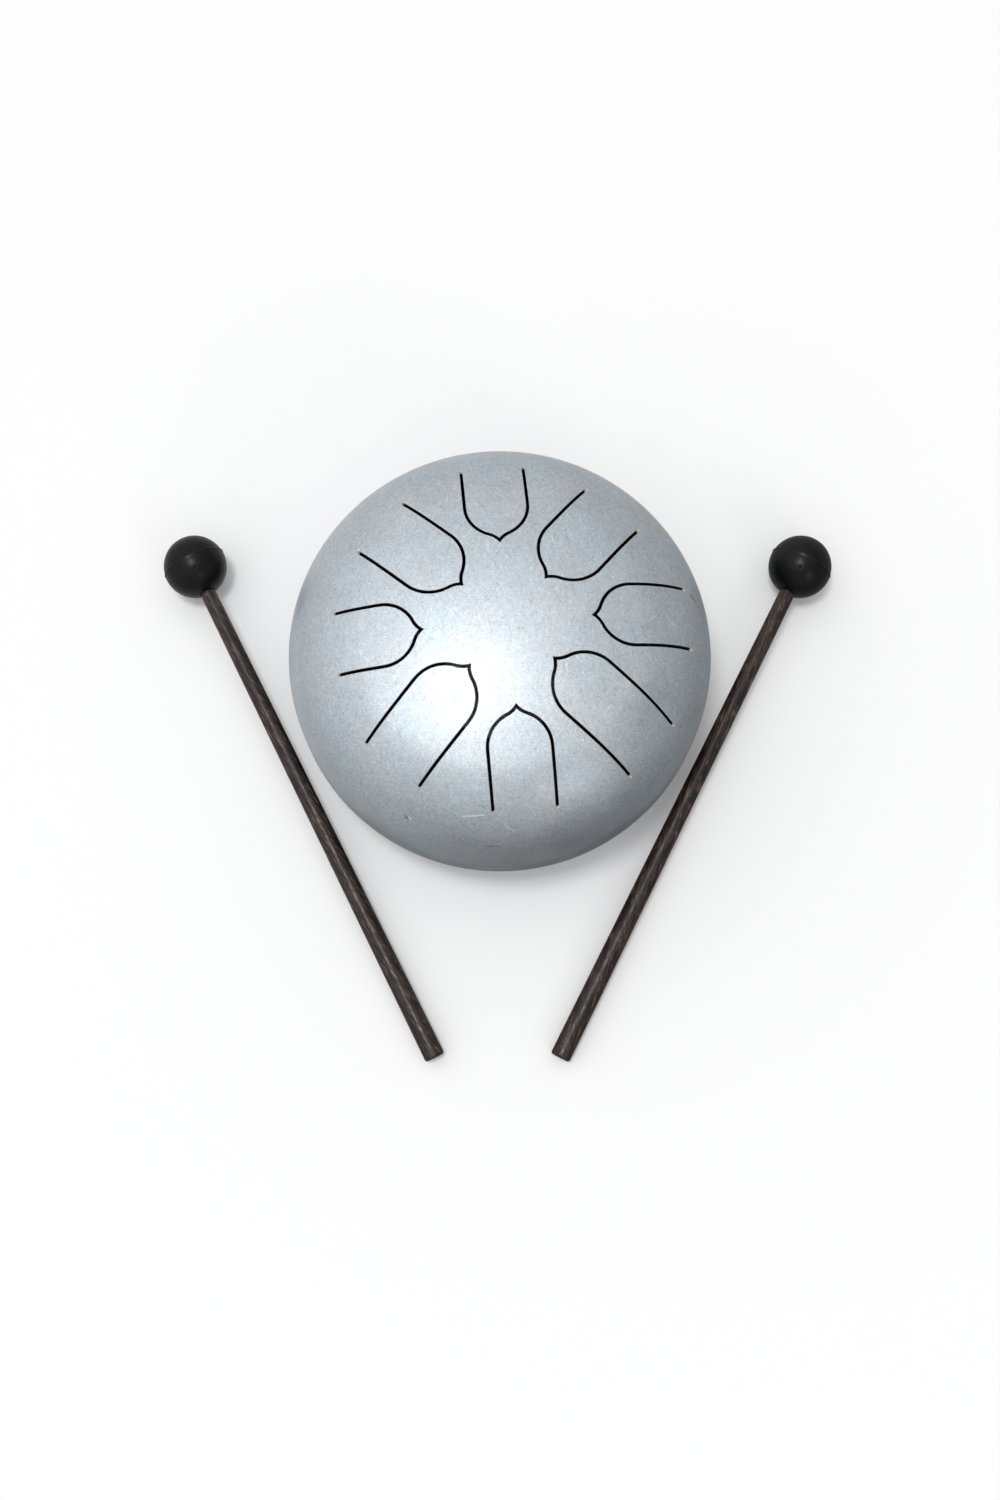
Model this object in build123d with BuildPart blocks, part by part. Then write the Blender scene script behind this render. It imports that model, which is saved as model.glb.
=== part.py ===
from build123d import *

import math
import os
from dataclasses import dataclass

os.makedirs("parts", exist_ok=True)

# Steel tongue drum with its pair of mallets, in millimetres.
# The drum stands on its feet at z = 0 with its axis on Z. The player sits at -Y, with +X to the right.

# Shells of the drum
drum_diameter = 152.0
dome_height = 44.0
crown_radius = 171.0
side_height = 14.0
bottom_corner_radius = 24.0
sheet_thickness = 1.5
sound_hole_diameter = 44.0
sound_hole_edge_round = 0.4

# Weld that joins the two shells on the straight side
weld_drop = 6.0
weld_depth_share = 0.6
weld_crown = 0.12

# Tongues cut in the dome. A tongue's width and reach are measured to the middle of its slot.
tongue_count = 8
pattern_turn = 95.4
pattern_shift = 2.8
slot_width = 1.1
root_gap = 0.04
short_tongue_width = 21.9
long_tongue_width = 23.5
short_tip_reach = 29.5
long_tip_reach = 20.5
shoulder_radius_share = 1.09
ogee_angle = 68.0
tip_half_angle = 38.0
# Distance of each root from the pattern's centre, as shares of the drum's radius, clockwise from the far side
root_reach_shares = (0.780, 0.747, 0.820, 0.834, 0.812, 0.802, 0.769, 0.751)

# Rubber feet pushed into the bottom shell
foot_count = 3
foot_first_angle = 90.0
foot_height = 4.0
foot_diameter = 14.0
foot_edge_round = 1.0
foot_neck_diameter = 5.0
foot_barb_diameter = 8.0
foot_barb_height = 3.0
foot_barb_tip_share = 0.55
foot_neck_clearance = 0.1

# Mallets: rubber heads on tapered sticks
head_diameter = 24.0
mould_lip_height = 0.35
mould_lip_width = 0.9
mould_lip_offset = 1.5
stick_reach = 207.5
stick_tip_diameter = 6.0
stick_butt_diameter = 7.6
stick_butt_bevel = 0.6
tenon_depth_share = 0.7
glue_gap = 0.05

# Where the mallets lie, one on each side of the drum
mallet_gap = 3.8
mallet_setback = 91.6
mallet_splay = 26.7
mallet_pair_shift = -0.8

# How far cutting shapes run past what they cut
cut_overrun = 5.0

# Heights above the table, from the feet up
base_level = foot_height
corner_level = base_level + bottom_corner_radius
rim_level = corner_level + side_height
weld_level = rim_level - weld_drop
apex_level = rim_level + dome_height

# The crown arc runs into the shoulder arc, and the shoulder arc into the straight side
drum_radius = drum_diameter / 2
crown_sum = drum_radius**2 + dome_height**2 - 2 * dome_height * crown_radius
shoulder_radius = crown_sum / (2 * (drum_radius - crown_radius))
shoulder_offset = drum_radius - shoulder_radius
shoulder_turn = math.degrees(math.atan2(shoulder_offset, crown_radius - dome_height))
weld_depth = sheet_thickness * weld_depth_share
inner_radius = drum_radius - sheet_thickness

# The feet stand midway between the sound hole and the bottom corner
sound_hole_radius = sound_hole_diameter / 2
flat_radius = drum_radius - bottom_corner_radius
foot_circle_radius = (sound_hole_radius + flat_radius) / 2


@dataclass(frozen=True)
class Tongue:
    """One tongue: its plane at rim height with x pointing outwards, and its plan sizes."""

    name: str
    plane: Plane
    half_width: float
    tip_reach: float
    root_reach: float


def tongue_at(index: int) -> Tongue:
    """Give the tongue at a place in the pattern: short and long ones alternate."""
    angle = math.radians(pattern_turn - index * 360 / tongue_count)
    outwards = (math.cos(angle), math.sin(angle), 0)
    is_short = index % 2 == 0
    return Tongue(
        name=f"tongue_{index + 1}",
        plane=Plane(origin=(pattern_shift, 0, rim_level), x_dir=outwards, z_dir=(0, 0, 1)),
        half_width=(short_tongue_width if is_short else long_tongue_width) / 2,
        tip_reach=short_tip_reach if is_short else long_tip_reach,
        root_reach=root_reach_shares[index] * drum_radius,
    )


def tongue_outline(tongue: Tongue) -> None:
    """Draw a tongue along the middle of its slot, from its pointed tip to past its root."""
    tip_angle = math.radians(tip_half_angle)
    turn = math.radians(ogee_angle)
    shoulder = tongue.half_width * shoulder_radius_share
    hollow_side = tongue.half_width - shoulder * (1 - math.cos(turn))
    hollow = hollow_side / (math.cos(tip_angle) - math.cos(turn))
    start = (math.cos(tip_angle), math.sin(tip_angle))
    leg_end = tongue.root_reach + cut_overrun
    hollow_arc = JernArc((tongue.tip_reach, 0), start, hollow, ogee_angle - tip_half_angle)
    shoulder_arc = JernArc(hollow_arc @ 1, hollow_arc % 1, shoulder, -ogee_angle)
    Line(shoulder_arc @ 1, (leg_end, tongue.half_width))
    mirror(about=Plane.XZ)
    Line((leg_end, tongue.half_width), (leg_end, -tongue.half_width))


def tongue_face(tongue: Tongue, growth: float, root: float) -> Sketch:
    """Give a tongue's outline, grown all round and cut square at its root."""
    with BuildSketch(tongue.plane) as face:
        with BuildLine():
            tongue_outline(tongue)
        make_face()
        offset(amount=growth, kind=Kind.INTERSECTION)
        with Locations((root, 0)):
            Rectangle(drum_diameter, drum_diameter, align=(Align.MAX, Align.CENTER), mode=Mode.INTERSECT)
    return face.sketch


def slot_ends(tongue: Tongue) -> Sketch:
    """Give the round ends of a tongue's two slots."""
    with BuildSketch(tongue.plane) as ends:
        with Locations((tongue.root_reach, tongue.half_width), (tongue.root_reach, -tongue.half_width)):
            Circle(slot_width / 2)
    return ends.sketch


def dome_curve(inset: float) -> None:
    """Draw the crown arc and the shoulder arc, moved inwards by inset."""
    CenterArc((0, apex_level - crown_radius), crown_radius - inset, 90 - shoulder_turn, shoulder_turn)
    CenterArc((shoulder_offset, rim_level), shoulder_radius - inset, 0, 90 - shoulder_turn)


tongues = [tongue_at(index) for index in range(tongue_count)]

# The dome as pressed, before its tongues are cut
with BuildPart() as dome_blank:
    with BuildSketch(Plane.XZ):
        with BuildLine():
            dome_curve(0)
            dome_curve(sheet_thickness)
            Line((0, apex_level), (0, apex_level - sheet_thickness))
            Polyline(
                (drum_radius, rim_level),
                (drum_radius, weld_level + weld_depth),
                (drum_radius - weld_depth, weld_level),
                (inner_radius, weld_level),
                (inner_radius, rim_level),
            )
        make_face()
    revolve(axis=Axis.Z)

# The top shell keeps a window around each tongue, a slot wide
windows = [tongue_face(tongue, slot_width / 2, tongue.root_reach + root_gap) for tongue in tongues]
ends = [slot_ends(tongue) for tongue in tongues]
with BuildPart() as top_shell:
    add(dome_blank.part)
    for cut in windows + ends:
        extrude(cut, amount=dome_height + cut_overrun, mode=Mode.SUBTRACT)
top_shell.part.label = "top_shell"
export_step(top_shell.part, "parts/top_shell.step")

# Each tongue is the dome's own sheet inside its window
for tongue in tongues:
    plate = tongue_face(tongue, -slot_width / 2, tongue.root_reach)
    with BuildPart() as leaf:
        add(dome_blank.part)
        extrude(plate, amount=dome_height + cut_overrun, mode=Mode.INTERSECT)
    leaf.part.label = tongue.name
    export_step(leaf.part, f"parts/{tongue.name}.step")

# The bottom shell is a straight-sided bowl with a sound hole and a hole for each foot
with BuildPart() as bottom_shell:
    with BuildSketch(Plane.XZ) as bowl_section:
        with BuildLine():
            CenterArc((flat_radius, corner_level), bottom_corner_radius, -90, 90)
            CenterArc((flat_radius, corner_level), bottom_corner_radius - sheet_thickness, -90, 90)
            Polyline(
                (flat_radius, base_level),
                (sound_hole_radius, base_level),
                (sound_hole_radius, base_level + sheet_thickness),
                (flat_radius, base_level + sheet_thickness),
            )
            Polyline(
                (drum_radius, corner_level),
                (drum_radius, weld_level - weld_depth),
                (drum_radius - weld_depth, weld_level),
                (inner_radius, weld_level),
                (inner_radius, corner_level),
            )
        make_face()
        fillet(bowl_section.vertices().group_by(Axis.X)[0], radius=sound_hole_edge_round)
    revolve(axis=Axis.Z)
    with BuildSketch(Plane.XY.offset(base_level)):
        with PolarLocations(foot_circle_radius, foot_count, start_angle=foot_first_angle):
            Circle(foot_neck_diameter / 2 + foot_neck_clearance)
    extrude(amount=sheet_thickness, mode=Mode.SUBTRACT)
bottom_shell.part.label = "bottom_shell"
export_step(bottom_shell.part, "parts/bottom_shell.step")

# The weld fills the groove between the bevelled rims and stands a little proud
with BuildPart() as rim_weld:
    with BuildSketch(Plane.XZ):
        with BuildLine():
            Polyline(
                (drum_radius, weld_level + weld_depth),
                (drum_radius - weld_depth, weld_level),
                (drum_radius, weld_level - weld_depth),
            )
            ThreePointArc(
                (drum_radius, weld_level - weld_depth),
                (drum_radius + weld_crown, weld_level),
                (drum_radius, weld_level + weld_depth),
            )
        make_face()
    revolve(axis=Axis.Z)
rim_weld.part.label = "rim_weld"
export_step(rim_weld.part, "parts/rim_weld.step")

# A foot is a round pad with a neck through the sheet and a barb above it
for index in range(foot_count):
    foot_angle = math.radians(foot_first_angle + index * 360 / foot_count)
    foot_centre = (foot_circle_radius * math.cos(foot_angle), foot_circle_radius * math.sin(foot_angle), 0)
    barb_level = base_level + sheet_thickness
    with BuildPart() as foot:
        with BuildSketch(Plane(origin=foot_centre, x_dir=(1, 0, 0), z_dir=(0, -1, 0))) as foot_section:
            with BuildLine():
                Polyline(
                    (0, 0),
                    (foot_diameter / 2, 0),
                    (foot_diameter / 2, base_level),
                    (foot_neck_diameter / 2, base_level),
                    (foot_neck_diameter / 2, barb_level),
                    (foot_barb_diameter / 2, barb_level),
                    (foot_barb_diameter / 2 * foot_barb_tip_share, barb_level + foot_barb_height),
                    (0, barb_level + foot_barb_height),
                    close=True,
                )
            make_face()
            pad_corners = foot_section.vertices().group_by(Axis.X)[-1]
            fillet(pad_corners.sort_by(Axis.Y)[0], radius=foot_edge_round)
        revolve(axis=Axis(foot_centre, (0, 0, 1)))
    foot.part.label = f"foot_{index + 1}"
    export_step(foot.part, f"parts/foot_{index + 1}.step")

# Both ends of a mallet touch the table, so its stick slopes down from the head to the butt
head_radius = head_diameter / 2
head_level = head_radius + mould_lip_height
butt_level = stick_butt_diameter / 2
stick_slope = math.asin((head_level - butt_level) / stick_reach)
stick_line = drum_radius + mallet_gap + stick_butt_diameter / 2
splay = math.radians(mallet_splay)
tenon_end = head_radius - head_diameter * tenon_depth_share
tip_radius = stick_tip_diameter / 2
bore_radius = tip_radius + glue_gap

for side_name, side in (("left", -1), ("right", 1)):
    head_x = side * (stick_line * math.cos(splay) + mallet_setback * math.sin(splay)) + mallet_pair_shift
    head_y = mallet_setback * math.cos(splay) - stick_line * math.sin(splay)
    head_centre = (head_x, head_y, head_level)
    along = Vector(
        -side * math.sin(splay) * math.cos(stick_slope),
        -math.cos(splay) * math.cos(stick_slope),
        -math.sin(stick_slope),
    )
    across = along.cross(Vector(0, 0, 1))
    stick_plane = Plane(origin=head_centre, x_dir=along, z_dir=across)
    stick_axis = Axis(head_centre, along)

    # The stick has a straight tenon in the head, then widens to its bevelled butt
    with BuildPart() as stick:
        with BuildSketch(stick_plane):
            with BuildLine():
                Polyline(
                    (tenon_end, 0),
                    (tenon_end, tip_radius),
                    (head_radius, tip_radius),
                    (stick_reach - stick_butt_bevel, stick_butt_diameter / 2),
                    (stick_reach, stick_butt_diameter / 2 - stick_butt_bevel),
                    (stick_reach, 0),
                    close=True,
                )
            make_face()
        revolve(axis=stick_axis)
    stick.part.label = f"mallet_stick_{side_name}"
    export_step(stick.part, f"parts/mallet_stick_{side_name}.step")

    # The head is a moulded ball with a raised parting line and a blind bore for the tenon
    with BuildPart() as head:
        with BuildSketch(stick_plane):
            with BuildLine():
                CenterArc((0, 0), head_radius, 0, 180)
                Line((head_radius, 0), (-head_radius, 0))
            make_face()
            with Locations((-mould_lip_offset, 0)):
                Rectangle(mould_lip_width, head_radius + mould_lip_height, align=(Align.CENTER, Align.MIN))
        revolve(axis=stick_axis)
        with BuildSketch(stick_plane):
            with Locations((tenon_end, 0)):
                Rectangle(head_diameter, bore_radius, align=(Align.MIN, Align.MIN))
        revolve(axis=stick_axis, mode=Mode.SUBTRACT)
    head.part.label = f"mallet_head_{side_name}"
    export_step(head.part, f"parts/mallet_head_{side_name}.step")
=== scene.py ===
import logging
import math
from collections.abc import Iterable, Sequence
from dataclasses import dataclass
from enum import Enum, IntEnum

import bmesh
import bpy
from bpy.types import Material, Node, NodeSocket, Object, World
from mathutils import Matrix, Vector, noise


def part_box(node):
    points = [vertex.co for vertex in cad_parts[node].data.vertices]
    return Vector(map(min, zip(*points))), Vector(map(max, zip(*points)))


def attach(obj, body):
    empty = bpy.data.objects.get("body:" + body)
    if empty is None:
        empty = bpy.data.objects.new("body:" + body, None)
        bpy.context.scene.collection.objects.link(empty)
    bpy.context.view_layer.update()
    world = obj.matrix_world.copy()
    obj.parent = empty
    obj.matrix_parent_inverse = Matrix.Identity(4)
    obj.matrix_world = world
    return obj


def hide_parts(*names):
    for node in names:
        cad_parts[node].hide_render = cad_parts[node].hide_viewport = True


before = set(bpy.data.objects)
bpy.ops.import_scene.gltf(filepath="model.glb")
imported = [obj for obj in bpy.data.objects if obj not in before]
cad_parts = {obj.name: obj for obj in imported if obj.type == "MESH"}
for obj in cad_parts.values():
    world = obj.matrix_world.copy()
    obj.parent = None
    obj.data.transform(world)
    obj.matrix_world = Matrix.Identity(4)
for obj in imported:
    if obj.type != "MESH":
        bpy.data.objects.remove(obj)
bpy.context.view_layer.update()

log = logging.getLogger("tongue_drum")

Colour = tuple[float, float, float]
Place = tuple[float, float, float]
Point = tuple[float, float]
Span = tuple[float, float]
Wire = NodeSocket | float

MERGE_DISTANCE = 1e-7
SMOOTH_ANGLE = math.radians(32)
REST_PLACE = "rest_place"
UP = Vector((0, 0, 1))


class Side(Enum):
    """Which side of the drum a mallet lies on, as the sign of its x."""

    LEFT = -1
    RIGHT = 1


class Cut(Enum):
    """What a boolean cut keeps of the piece."""

    TAKE_AWAY = "DIFFERENCE"
    KEEP_INSIDE = "INTERSECT"


class SheetFace(IntEnum):
    """The material slots of the drum's sheet."""

    SATIN = 0
    SLOT_WALL = 1
    RUN_OUT = 2
    INSIDE = 3
    EDGE = 4


Outline = list[tuple[Point, SheetFace]]
Loop = list[tuple[Vector, SheetFace]]


def spread(first: float, last: float, steps: int) -> list[float]:
    """Give evenly spaced values from first to last, both included."""
    return [first + (last - first) * index / steps for index in range(steps + 1)]


def arc(centre: Point, radius: float, start: float, end: float, steps: int) -> list[Point]:
    """Give the points of an arc in a plane, from one angle in degrees to another."""
    angles = [math.radians(angle) for angle in spread(start, end, steps)]
    return [(centre[0] + radius * math.cos(a), centre[1] + radius * math.sin(a)) for a in angles]


def line(start: Point, end: Point, steps: int) -> list[Point]:
    """Give the points of a straight run, both ends included."""
    return list(zip(spread(start[0], end[0], steps), spread(start[1], end[1], steps)))


def without_repeats(points: Iterable[Point]) -> list[Point]:
    """Give the points of a closed outline with no point twice in a row.

    Args:
        points: The outline's points, which may repeat where two runs meet.

    Returns:
        The outline's points.
    """
    kept: list[Point] = []
    for point in points:
        if not kept or math.dist(point, kept[-1]) > MERGE_DISTANCE:
            kept.append(point)
    if math.dist(kept[0], kept[-1]) <= MERGE_DISTANCE:
        kept.pop()
    return kept


def middle(node: str) -> Point:
    """Give the middle of a CAD node's box in plan."""
    low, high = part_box(node)
    return (low.x + high.x) / 2, (low.y + high.y) / 2


class MeshBench:
    """Mesh work that the pieces share, done with the modelling operators."""

    @staticmethod
    def only(piece: Object) -> None:
        """Select one piece alone and make it the active one.

        Args:
            piece: The piece.
        """
        bpy.ops.object.select_all(action="DESELECT")
        piece.select_set(True)
        bpy.context.view_layer.objects.active = piece

    @staticmethod
    def ring(name: str, section: Sequence[Point]) -> Object:
        """Add a circle and pull it to a closed outline in the XZ plane.

        Args:
            name: The new object's name.
            section: The outline as (radius, height) points.

        Returns:
            The new object.
        """
        bpy.ops.object.select_all(action="DESELECT")
        bpy.ops.mesh.primitive_circle_add(vertices=len(section), fill_type="NOTHING")
        ring = bpy.context.object
        ring.name = name
        for vertex, (radius, height) in zip(ring.data.vertices, section):
            vertex.co = (radius, 0, height)
        return ring

    @classmethod
    def turned(cls, name: str, section: Iterable[Point], steps: int) -> Object:
        """Spin a closed outline round the Z axis.

        Args:
            name: The new object's name.
            section: The outline as (radius, height) points.
            steps: How many steps the full turn has.

        Returns:
            The closed solid.
        """
        piece = cls.ring(name, without_repeats(section))
        bpy.ops.object.mode_set(mode="EDIT")
        bpy.ops.mesh.select_all(action="SELECT")
        bpy.ops.mesh.spin(steps=steps, angle=math.tau, center=(0, 0, 0), axis=(0, 0, 1))
        bpy.ops.mesh.select_all(action="SELECT")
        bpy.ops.mesh.remove_doubles(threshold=MERGE_DISTANCE)
        bpy.ops.mesh.delete_loose(use_verts=True, use_edges=True, use_faces=False)
        bpy.ops.mesh.select_all(action="SELECT")
        bpy.ops.mesh.normals_make_consistent(inside=False)
        bpy.ops.object.mode_set(mode="OBJECT")
        cls.smooth(piece)
        return piece

    @classmethod
    def smooth(cls, piece: Object) -> None:
        """Shade a piece smooth, with its sharp edges kept."""
        cls.only(piece)
        bpy.ops.object.shade_smooth_by_angle(angle=SMOOTH_ANGLE)

    @classmethod
    def copied(cls, piece: Object, name: str) -> Object:
        """Copy a piece with a mesh of its own.

        Args:
            piece: The piece to copy.
            name: The copy's name.

        Returns:
            The copy.
        """
        cls.only(piece)
        bpy.ops.object.duplicate(linked=False)
        copy = bpy.context.object
        copy.name = name
        return copy

    @staticmethod
    def placed(piece: Object, place: Matrix) -> None:
        """Move a piece to its place and keep that place in its mesh."""
        piece.data.transform(place)

    @classmethod
    def cut(cls, piece: Object, cutter: Object, keep: Cut) -> None:
        """Cut a piece with a closed shape, which is used up.

        Args:
            piece: The piece to cut.
            cutter: The closed shape.
            keep: What stays of the piece.
        """
        modifier = piece.modifiers.new("cut", "BOOLEAN")
        modifier.operation = keep.value
        modifier.solver = "EXACT"
        modifier.material_mode = "INDEX"
        modifier.object = cutter
        cls.only(piece)
        bpy.ops.object.modifier_apply(modifier=modifier.name)
        bpy.data.objects.remove(cutter)

    @staticmethod
    def keep_rest_place(piece: Object, shift: Vector) -> None:
        """Store where each vertex lies before the piece is placed, for patterns on the piece.

        Args:
            piece: The piece, still in its own frame.
            shift: Added to every stored place, so that copies differ.
        """
        stored = piece.data.attributes.new(REST_PLACE, "FLOAT_VECTOR", "POINT")
        for item, vertex in zip(stored.data, piece.data.vertices):
            item.vector = vertex.co + shift


class NodeBench:
    """Wires the nodes of one procedural material, or of the world."""

    STROKE_DRIFT = 0.6
    STROKE_EDGE: Span = (0.2, 0.6)
    STROKE_END: Span = (0.45, 0.7)
    STROKE_TONES: Span = (0.2, 0.8)

    def __init__(self, owner: Material | World, shader: str = "Principled BSDF") -> None:
        """Open the nodes of a new material or world.

        Args:
            owner: What the nodes belong to.
            shader: The name of its shader node.
        """
        owner.use_nodes = True
        self.owner = owner
        self.tree = owner.node_tree
        self.shader: Node = self.tree.nodes[shader]

    @classmethod
    def named(cls, name: str) -> "NodeBench":
        """Start a new material."""
        return cls(bpy.data.materials.new(name))

    def add(
        self, kind: str, inputs: dict[str | int, object] | None = None, **settings: object
    ) -> Node:
        """Add a node, set its properties and feed its inputs.

        Args:
            kind: The node's type.
            inputs: A value or another node's output for each input, by name or number.
            **settings: Properties of the node.

        Returns:
            The node.
        """
        node = self.tree.nodes.new(kind)
        for name, value in settings.items():
            setattr(node, name, value)
        for key, value in (inputs or {}).items():
            self.feed(node.inputs[key], value)
        return node

    def feed(self, socket: NodeSocket, value: object) -> None:
        """Link a socket to another, or set its value.

        Args:
            socket: The socket.
            value: The value, or the other socket.
        """
        if isinstance(value, NodeSocket):
            self.tree.links.new(value, socket)
        else:
            socket.default_value = value

    def object_place(self) -> NodeSocket:
        """Give the place on the object."""
        return self.add("ShaderNodeTexCoord").outputs["Object"]

    def rest_place(self) -> NodeSocket:
        """Give the place on the piece before it was laid down."""
        return self.add("ShaderNodeAttribute", attribute_name=REST_PLACE).outputs["Vector"]

    def value(
        self, operation: str, first: Wire, second: Wire = 0.0, clamp: bool = False
    ) -> NodeSocket:
        """Work out one value from one or two others.

        Args:
            operation: The Math node's operation.
            first: The first value.
            second: The second value.
            clamp: Whether the result is kept between 0 and 1.

        Returns:
            The result.
        """
        inputs = {0: first, 1: second}
        node = self.add("ShaderNodeMath", inputs, operation=operation, use_clamp=clamp)
        return node.outputs[0]

    def product(self, first: Wire, second: Wire) -> NodeSocket:
        """Give one value times another."""
        return self.value("MULTIPLY", first, second)

    def vector(
        self, operation: str, first: object, second: object = (0, 0, 0), output: int = 0
    ) -> NodeSocket:
        """Work out one vector (output 0) or value (output 1) from two vectors."""
        inputs = {0: first, 1: second}
        return self.add("ShaderNodeVectorMath", inputs, operation=operation).outputs[output]

    def scaled(self, vector: object, factor: Wire) -> NodeSocket:
        """Give a vector or colour times a value."""
        inputs = {0: vector, "Scale": factor}
        return self.add("ShaderNodeVectorMath", inputs, operation="SCALE").outputs[0]

    def part(self, vector: NodeSocket, axis: int) -> NodeSocket:
        """Give one of a vector's three values."""
        return self.add("ShaderNodeSeparateXYZ", {0: vector}).outputs[axis]

    def noise(self, place: NodeSocket, size: float, detail: float, seed: float) -> NodeSocket:
        """Give soft random values, around one half, in spots of about a size."""
        inputs = {"Vector": place, "W": seed, "Scale": 1 / size, "Detail": detail}
        return self.add("ShaderNodeTexNoise", inputs, noise_dimensions="4D").outputs[0]

    def ramp(self, value: Wire, rise: Span, result: Span = (0.0, 1.0)) -> NodeSocket:
        """Ease a result from its first value to its second while a value rises.

        Args:
            value: The value.
            rise: Where the rise starts and ends.
            result: The result before and after the rise.

        Returns:
            The eased result.
        """
        inputs = dict(zip(("From Min", "From Max", "To Min", "To Max"), (*rise, *result)))
        inputs["Value"] = value
        return self.add("ShaderNodeMapRange", inputs, interpolation_type="SMOOTHSTEP").outputs[0]

    def mix(self, share: Wire, first: object, second: object) -> NodeSocket:
        """Mix two colours.

        Args:
            share: How much of the second colour shows.
            first: The first colour.
            second: The second colour.

        Returns:
            The mixed colour.
        """
        node = self.add("ShaderNodeMix", {"Factor": share}, data_type="RGBA")
        for socket, colour in ((node.inputs[6], first), (node.inputs[7], second)):
            self.feed(socket, colour if isinstance(colour, NodeSocket) else (*colour, 1.0))
        return node.outputs[2]

    def strokes(
        self, place: NodeSocket, spacing: float, width: float, seed: float, bend: float = 1.6
    ) -> NodeSocket:
        """Give short bent strokes in all directions, one in each cell of a random pattern.

        Args:
            place: Where on the surface.
            spacing: How far apart the strokes lie.
            width: How wide a stroke is.
            seed: A number that gives other strokes.
            bend: How far the strokes curl, as a share of the spacing.

        Returns:
            From minus one to one on the strokes, darker and lighter ones mixed, and zero between.
        """
        inputs = {"Vector": place, "W": seed, "Scale": self.STROKE_DRIFT / spacing, "Detail": 0.0}
        drift = self.add("ShaderNodeTexNoise", inputs, noise_dimensions="4D")
        bent = self.vector("ADD", place, self.scaled(drift.outputs["Color"], bend * spacing))
        bent = self.vector("ADD", bent, (seed, 0.0, 0.0))
        cells = self.add("ShaderNodeTexVoronoi", {"Vector": bent, "Scale": 1 / spacing})
        from_middle = self.vector("SUBTRACT", bent, cells.outputs["Position"])
        facing = self.add("ShaderNodeNewGeometry").outputs["Normal"]
        turn = self.vector("SUBTRACT", cells.outputs["Color"], (0.5, 0.5, 0.5))
        across = self.vector("NORMALIZE", self.vector("CROSS_PRODUCT", facing, turn))
        away = self.value("ABSOLUTE", self.vector("DOT_PRODUCT", from_middle, across, output=1))
        stroke = self.near(away, width)
        length = self.ramp(cells.outputs["Distance"], self.STROKE_END, (1.0, 0.0))
        tone = self.ramp(self.part(cells.outputs["Color"], 1), self.STROKE_TONES, (-1.0, 1.0))
        return self.product(tone, self.product(stroke, length))

    def near(self, away: NodeSocket, width: float) -> NodeSocket:
        """Give one in the middle of a line that is so wide, and zero beside it."""
        return self.ramp(away, tuple(width * share for share in self.STROKE_EDGE), (1.0, 0.0))

    def near_line(self, place: NodeSocket, start: Place, end: Place, width: float) -> NodeSocket:
        """Give a soft mark along a straight line.

        Args:
            place: Where on the surface.
            start: One end of the line.
            end: The other end.
            width: The mark's width.

        Returns:
            One on the line, zero beside it.
        """
        run = Vector(end) - Vector(start)
        from_start = self.vector("SUBTRACT", place, start)
        along = self.vector("DOT_PRODUCT", from_start, tuple(run / run.length_squared), output=1)
        nearest = self.scaled(tuple(run), self.value("ADD", along, 0.0, clamp=True))
        away = self.vector("LENGTH", self.vector("SUBTRACT", from_start, nearest), output=1)
        return self.near(away, width)

    def uneven(self, value: NodeSocket, rise: Span, level: float, swing: Span) -> NodeSocket:
        """Give a roughness that swings about its level while a value rises."""
        return self.ramp(value, rise, (level + swing[0], level + swing[1]))

    def bump(self, height: NodeSocket, depth: float) -> None:
        """Raise the surface by a relief whose height at one is the depth in metres."""
        node = self.add("ShaderNodeBump", {"Distance": depth, "Height": height})
        self.feed(self.shader.inputs["Normal"], node.outputs[0])

    def shade(self, **values: object) -> None:
        """Set or link the shader's sockets.

        Args:
            **values: A value or socket for each, named with underscores for spaces.
        """
        for name, value in values.items():
            socket = self.shader.inputs[name.replace("_", " ")]
            is_colour = socket.type == "RGBA" and not isinstance(value, NodeSocket)
            self.feed(socket, (*value, 1.0) if is_colour else value)


@dataclass(frozen=True)
class WearAndHighlightMark:
    """One coloured mark on the dome, from start to end."""

    start: Place
    end: Place
    width: float
    patchiness: float
    colour: Colour


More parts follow.
